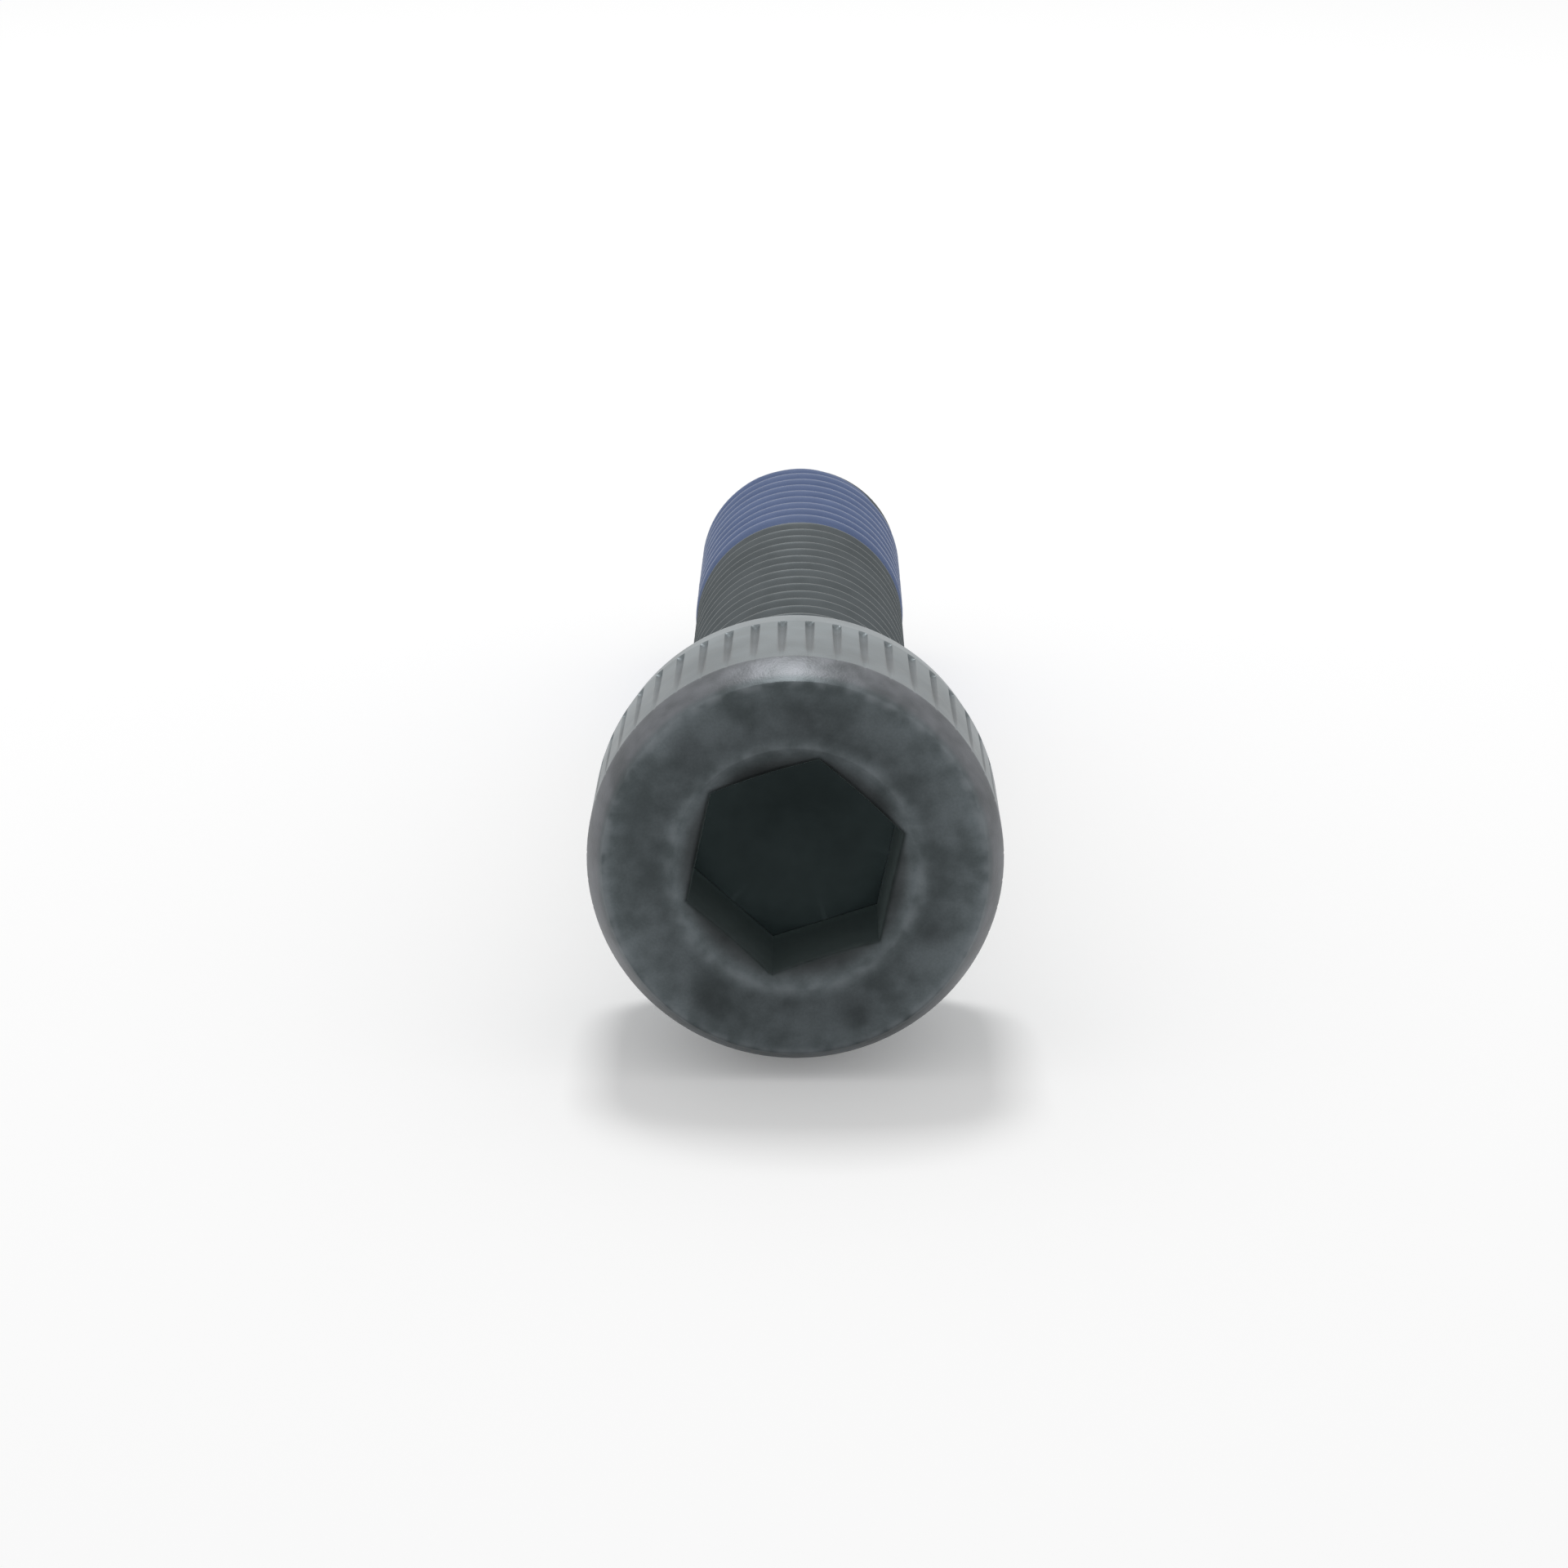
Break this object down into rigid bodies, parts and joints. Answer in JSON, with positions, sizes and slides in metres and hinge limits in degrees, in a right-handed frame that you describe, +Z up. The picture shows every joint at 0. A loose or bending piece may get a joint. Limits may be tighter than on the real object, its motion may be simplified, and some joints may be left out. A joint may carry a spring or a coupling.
{
  "type": "socket head cap screw",
  "caption": "Blackened steel cap screw with a knurled cylindrical head, a hexagon socket, a full-length thread and a blue thread-locking coat near its tip.",
  "frame": {"origin": "on the surface that the screw lies on, under the middle of its box", "axes": "+Y is the long way of the box, from the head towards the tip; +Z is up. The screw's own axis dips 3.51 degrees towards the tip, because the head is wider than the thread"},
  "size_m": [0.013, 0.0484, 0.0133],
  "materials": {
    "black_steel": "black oxide, satin, a little oily",
    "locking_coat": "dry, matte thread-locking compound"
  },
  "bodies": {
    "root": {"screw": "black_steel", "thread_coat": "locking_coat"}
  },
  "joints": []
}
